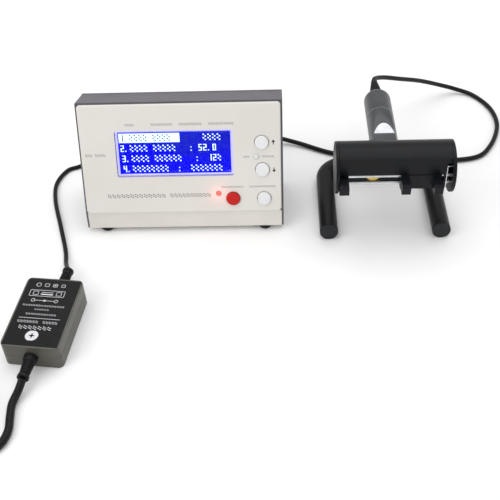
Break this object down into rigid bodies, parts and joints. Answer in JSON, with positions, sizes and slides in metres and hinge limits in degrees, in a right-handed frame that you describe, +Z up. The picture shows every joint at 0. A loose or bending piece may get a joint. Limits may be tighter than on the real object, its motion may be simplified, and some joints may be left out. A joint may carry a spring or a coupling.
{
  "type": "timegrapher",
  "caption": "Watch timing tester: sloping display console with push buttons, a plug-in mains adapter, and a microphone on a bent tube stand whose swivelling head clamps a watch.",
  "frame": {"origin": "middle of the footprint of the console, adapter and microphone stand, on the table top, leads left out", "axes": "+X along the row from the adapter to the microphone stand, +Y from the display's side to the jacks at the back, +Z up"},
  "size_m": [0.4935, 0.4165, 0.1023],
  "materials": {
    "black_cord": "satin vinyl",
    "black_plastic": "moulded black",
    "black_rubber": "matt rubber",
    "black_steel": "blackened screws",
    "black_tube": "satin black coat",
    "blue_display": "lit blue liquid-crystal display",
    "brass": "plain",
    "bright_spring": "bright strip",
    "brown_board": "plain paper laminate",
    "clear_lamp": "clear indicator, unlit",
    "clear_window": "clear",
    "cream_plastic": "satin cream moulding",
    "dark_plate": "matt dark grey coat",
    "gloss_black": "polished black",
    "green_board": "solder mask",
    "grey_aluminium": "satin grey anodised",
    "grey_cover": "fine matt grey coat",
    "holder_black": "satin black moulding",
    "olive_plastic": "dark olive grey moulding",
    "red_cap": "satin red cap",
    "red_lamp": "lit red indicator",
    "white_cap": "satin white cap",
    "yellow_tape": "transformer tape",
    "zinc_steel": "zinc plated"
  },
  "bodies": {
    "unit": {"base_pan": "cream_plastic", "front_panel": "cream_plastic", "top_cover": "grey_cover", "rear_plate": "dark_plate", "cover_screws": "black_steel", "lcd_window": "clear_window", "lcd_frame": "black_plastic", "lcd_glass": "blue_display", "lcd_board": "green_board", "panel_screws": "zinc_steel", "key_board": "green_board", "key_switches": "zinc_steel", "run_led": "red_lamp", "signal_led": "clear_lamp", "main_board": "green_board", "board_chips": "black_plastic", "board_standoffs": "brass", "board_screws": "zinc_steel", "speaker": "black_plastic", "dc_jack": "black_plastic", "mic_jack": "zinc_steel", "mic_jack_nut": "zinc_steel", "console_feet": "black_rubber", "adapter_top": "gloss_black", "adapter_bottom": "olive_plastic", "adapter_board": "brown_board", "adapter_transformer": "yellow_tape", "dc_relief": "black_rubber", "mains_relief": "black_rubber", "dc_plug": "black_plastic", "dc_lead": "black_cord", "mic_plug": "black_plastic", "mic_lead": "black_cord", "mains_lead": "black_cord", "mains_coil": "black_cord", "mains_tail": "black_cord", "mains_plug": "black_plastic", "plug_pins": "brass", "cable_tie": "black_plastic", "stand_tube": "black_tube", "tube_plugs": "black_rubber", "stand_post": "black_tube", "post_screws": "zinc_steel", "barrel_front": "grey_aluminium", "barrel_rear": "grey_aluminium", "preamp_board": "green_board", "tail_relief": "black_rubber"},
    "button_up": {"button_up": "white_cap"},
    "button_down": {"button_down": "white_cap"},
    "button_menu": {"button_menu": "white_cap"},
    "button_start": {"button_start": "red_cap"},
    "holder": {"swivel_spindle": "zinc_steel", "holder_body": "holder_black", "left_disc": "holder_black", "right_disc": "holder_black", "fixed_jaw": "holder_black", "guide_rods": "zinc_steel", "contact_spring": "bright_spring", "sensor_disc": "brass"},
    "jaw": {"sliding_jaw": "holder_black"}
  },
  "joints": [
    {"name": "button_up_press", "type": "slide", "parent": "unit", "child": "button_up", "axis": [0, 0.9426, -0.3338], "range_m": [0, 0.0008], "stiffness_N_per_m": 800, "springref_m": -0.0004},
    {"name": "button_down_press", "type": "slide", "parent": "unit", "child": "button_down", "axis": [0, 0.9426, -0.3338], "range_m": [0, 0.0008], "stiffness_N_per_m": 800, "springref_m": -0.0004},
    {"name": "button_menu_press", "type": "slide", "parent": "unit", "child": "button_menu", "axis": [0, 0.9426, -0.3338], "range_m": [0, 0.0008], "stiffness_N_per_m": 800, "springref_m": -0.0004},
    {"name": "button_start_press", "type": "slide", "parent": "unit", "child": "button_start", "axis": [0, 0.9426, -0.3338], "range_m": [0, 0.0008], "stiffness_N_per_m": 800, "springref_m": -0.0004},
    {"name": "holder_swivel", "type": "hinge", "parent": "unit", "child": "holder", "pos_m": [0.11209, 0.04277, 0.058], "axis": [0, 1, 0], "range_deg": [-180, 180]},
    {"name": "jaw_slide", "type": "slide", "parent": "holder", "child": "jaw", "axis": [1, 0, 0], "range_m": [-0.03, 0.0015]}
  ]
}
